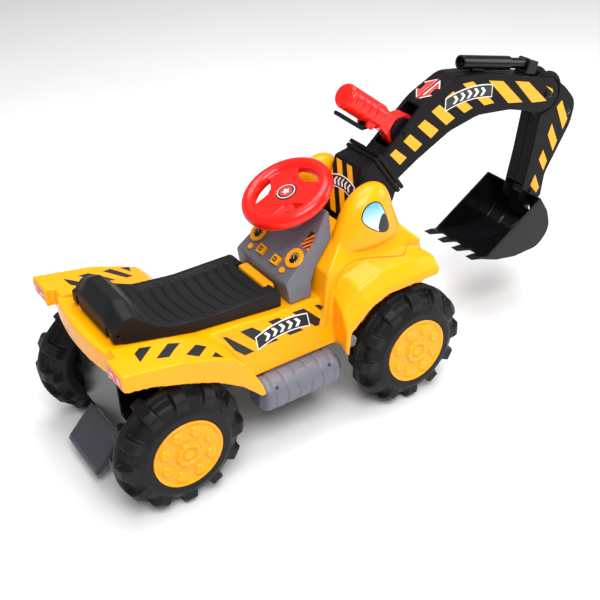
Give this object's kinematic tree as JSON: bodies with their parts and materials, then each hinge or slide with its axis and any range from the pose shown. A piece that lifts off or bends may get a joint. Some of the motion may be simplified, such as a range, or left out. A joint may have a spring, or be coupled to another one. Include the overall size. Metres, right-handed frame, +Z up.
{
  "type": "ride-on toy digger",
  "caption": "Four-wheeled ride-on toy digger with a lift-up seat, toy steering wheel and a hand-levered arm with a trigger-worked bucket.",
  "frame": {"origin": "on the floor, under the middle of the toy's bounding box", "axes": "+X forwards towards the bucket, +Y to the rider's left, +Z up"},
  "size_m": [0.8856, 0.308, 0.4484],
  "materials": {
    "yellow_body": "glossy moulded, warm yellow",
    "black_body": "satin moulded black",
    "tyre_black": "satin blow-moulded black",
    "seat_black": "grained black",
    "grey": "satin grey",
    "red": "glossy red",
    "steel": "zinc-plated steel",
    "dial": "printed dark dial",
    "dark_grey": "satin dark grey"
  },
  "bodies": {
    "toy": {"body_shell": "yellow_body", "storage_tray": "black_body", "chassis": "black_body", "kick_plate": "dark_grey", "axle_rear": "steel", "axle_front": "steel", "axle_retainers": "steel", "seat_hinge_pin": "steel", "console": "grey", "gauge_rings": "yellow_body", "gauge_faces": "dial", "dash_knobs": "yellow_body", "sound_module": "black_body", "steering_column": "grey", "steering_shaft": "steel", "turret": "black_body", "boom_flange": "black_body", "flange_spacers": "steel", "boom_right": "black_body", "boom_left": "black_body", "lever_pin": "steel", "elbow_pin": "steel", "ram_barrel": "black_body", "ram_rod": "black_body", "ram_clevis": "black_body", "ram_foot": "black_body", "footrest_right": "grey", "footrest_left": "grey"},
    "seat": {"seat_lid": "seat_black"},
    "steering": {"steering_wheel": "red", "steering_badge": "dial"},
    "hand_lever": {"lever": "red", "lever_discs": "black_body", "crank_pin": "steel", "trigger_pin": "steel"},
    "bucket_trigger": {"trigger": "black_body"},
    "link": {"push_rod": "black_body"},
    "stick": {"stick_right": "black_body", "stick_left": "black_body", "stick_crank_pin": "steel", "bucket_pin": "steel"},
    "scoop": {"bucket": "black_body"},
    "button_a": {"button_right": "yellow_body"},
    "button_b": {"button_left": "yellow_body"},
    "wheel_rear_right": {"tyre_rear_right": "tyre_black", "hub_cap_rear_right": "yellow_body"},
    "wheel_rear_left": {"tyre_rear_left": "tyre_black", "hub_cap_rear_left": "yellow_body"},
    "wheel_front_right": {"tyre_front_right": "tyre_black", "hub_cap_front_right": "yellow_body"},
    "wheel_front_left": {"tyre_front_left": "tyre_black", "hub_cap_front_left": "yellow_body"}
  },
  "joints": [
    {"name": "roll_rear_right", "type": "hinge", "parent": "toy", "child": "wheel_rear_right", "pos_m": [-0.3518, -0.1215, 0.091], "axis": [0, 1, 0], "continuous": true},
    {"name": "roll_rear_left", "type": "hinge", "parent": "toy", "child": "wheel_rear_left", "pos_m": [-0.3518, 0.1215, 0.091], "axis": [0, 1, 0], "continuous": true},
    {"name": "roll_front_right", "type": "hinge", "parent": "toy", "child": "wheel_front_right", "pos_m": [0.0202, -0.1215, 0.091], "axis": [0, 1, 0], "continuous": true},
    {"name": "roll_front_left", "type": "hinge", "parent": "toy", "child": "wheel_front_left", "pos_m": [0.0202, 0.1215, 0.091], "axis": [0, 1, 0], "continuous": true},
    {"name": "steering_turn", "type": "hinge", "parent": "toy", "child": "steering", "pos_m": [-0.0948, 0, 0.3178], "axis": [-0.3907, 0, 0.9205], "continuous": true},
    {"name": "seat_lift", "type": "hinge", "parent": "toy", "child": "seat", "pos_m": [-0.3878, 0, 0.2363], "axis": [0, -1, 0], "range_deg": [0, 20]},
    {"name": "lever_swing", "type": "hinge", "parent": "toy", "child": "hand_lever", "pos_m": [0.0942, 0, 0.3628], "axis": [0, -1, 0], "range_deg": [-12, 18]},
    {"name": "stick_swing", "type": "hinge", "parent": "toy", "child": "stick", "pos_m": [0.3752, 0, 0.3498], "axis": [0, -1, 0], "range_deg": [-12, 18]},
    {"name": "link_turn", "type": "hinge", "parent": "hand_lever", "child": "link", "pos_m": [0.0942, 0, 0.3448], "axis": [0, -1, 0], "range_deg": [-18, 12]},
    {"name": "trigger_squeeze", "type": "hinge", "parent": "hand_lever", "child": "bucket_trigger", "pos_m": [0.03851, 0, 0.3841], "axis": [0, 1, 0], "range_deg": [0, 4], "stiffness_Nm_per_rad": 6, "springref_deg": -11.46},
    {"name": "bucket_dump", "type": "hinge", "parent": "stick", "child": "scoop", "pos_m": [0.3632, 0, 0.1868], "axis": [0, -1, 0], "range_deg": [0, 36]},
    {"name": "press_a", "type": "slide", "parent": "toy", "child": "button_a", "axis": [0.6472, 0, -0.7623], "range_m": [0, 0.003], "stiffness_N_per_m": 300, "springref_m": -0.001},
    {"name": "press_b", "type": "slide", "parent": "toy", "child": "button_b", "axis": [0.6472, 0, -0.7623], "range_m": [0, 0.003], "stiffness_N_per_m": 300, "springref_m": -0.001}
  ],
  "couplings": [
    {"joint": "stick_swing", "follows": "lever_swing", "ratio": 1},
    {"joint": "link_turn", "follows": "lever_swing", "ratio": -1},
    {"joint": "bucket_dump", "follows": "trigger_squeeze", "ratio": 9}
  ]
}
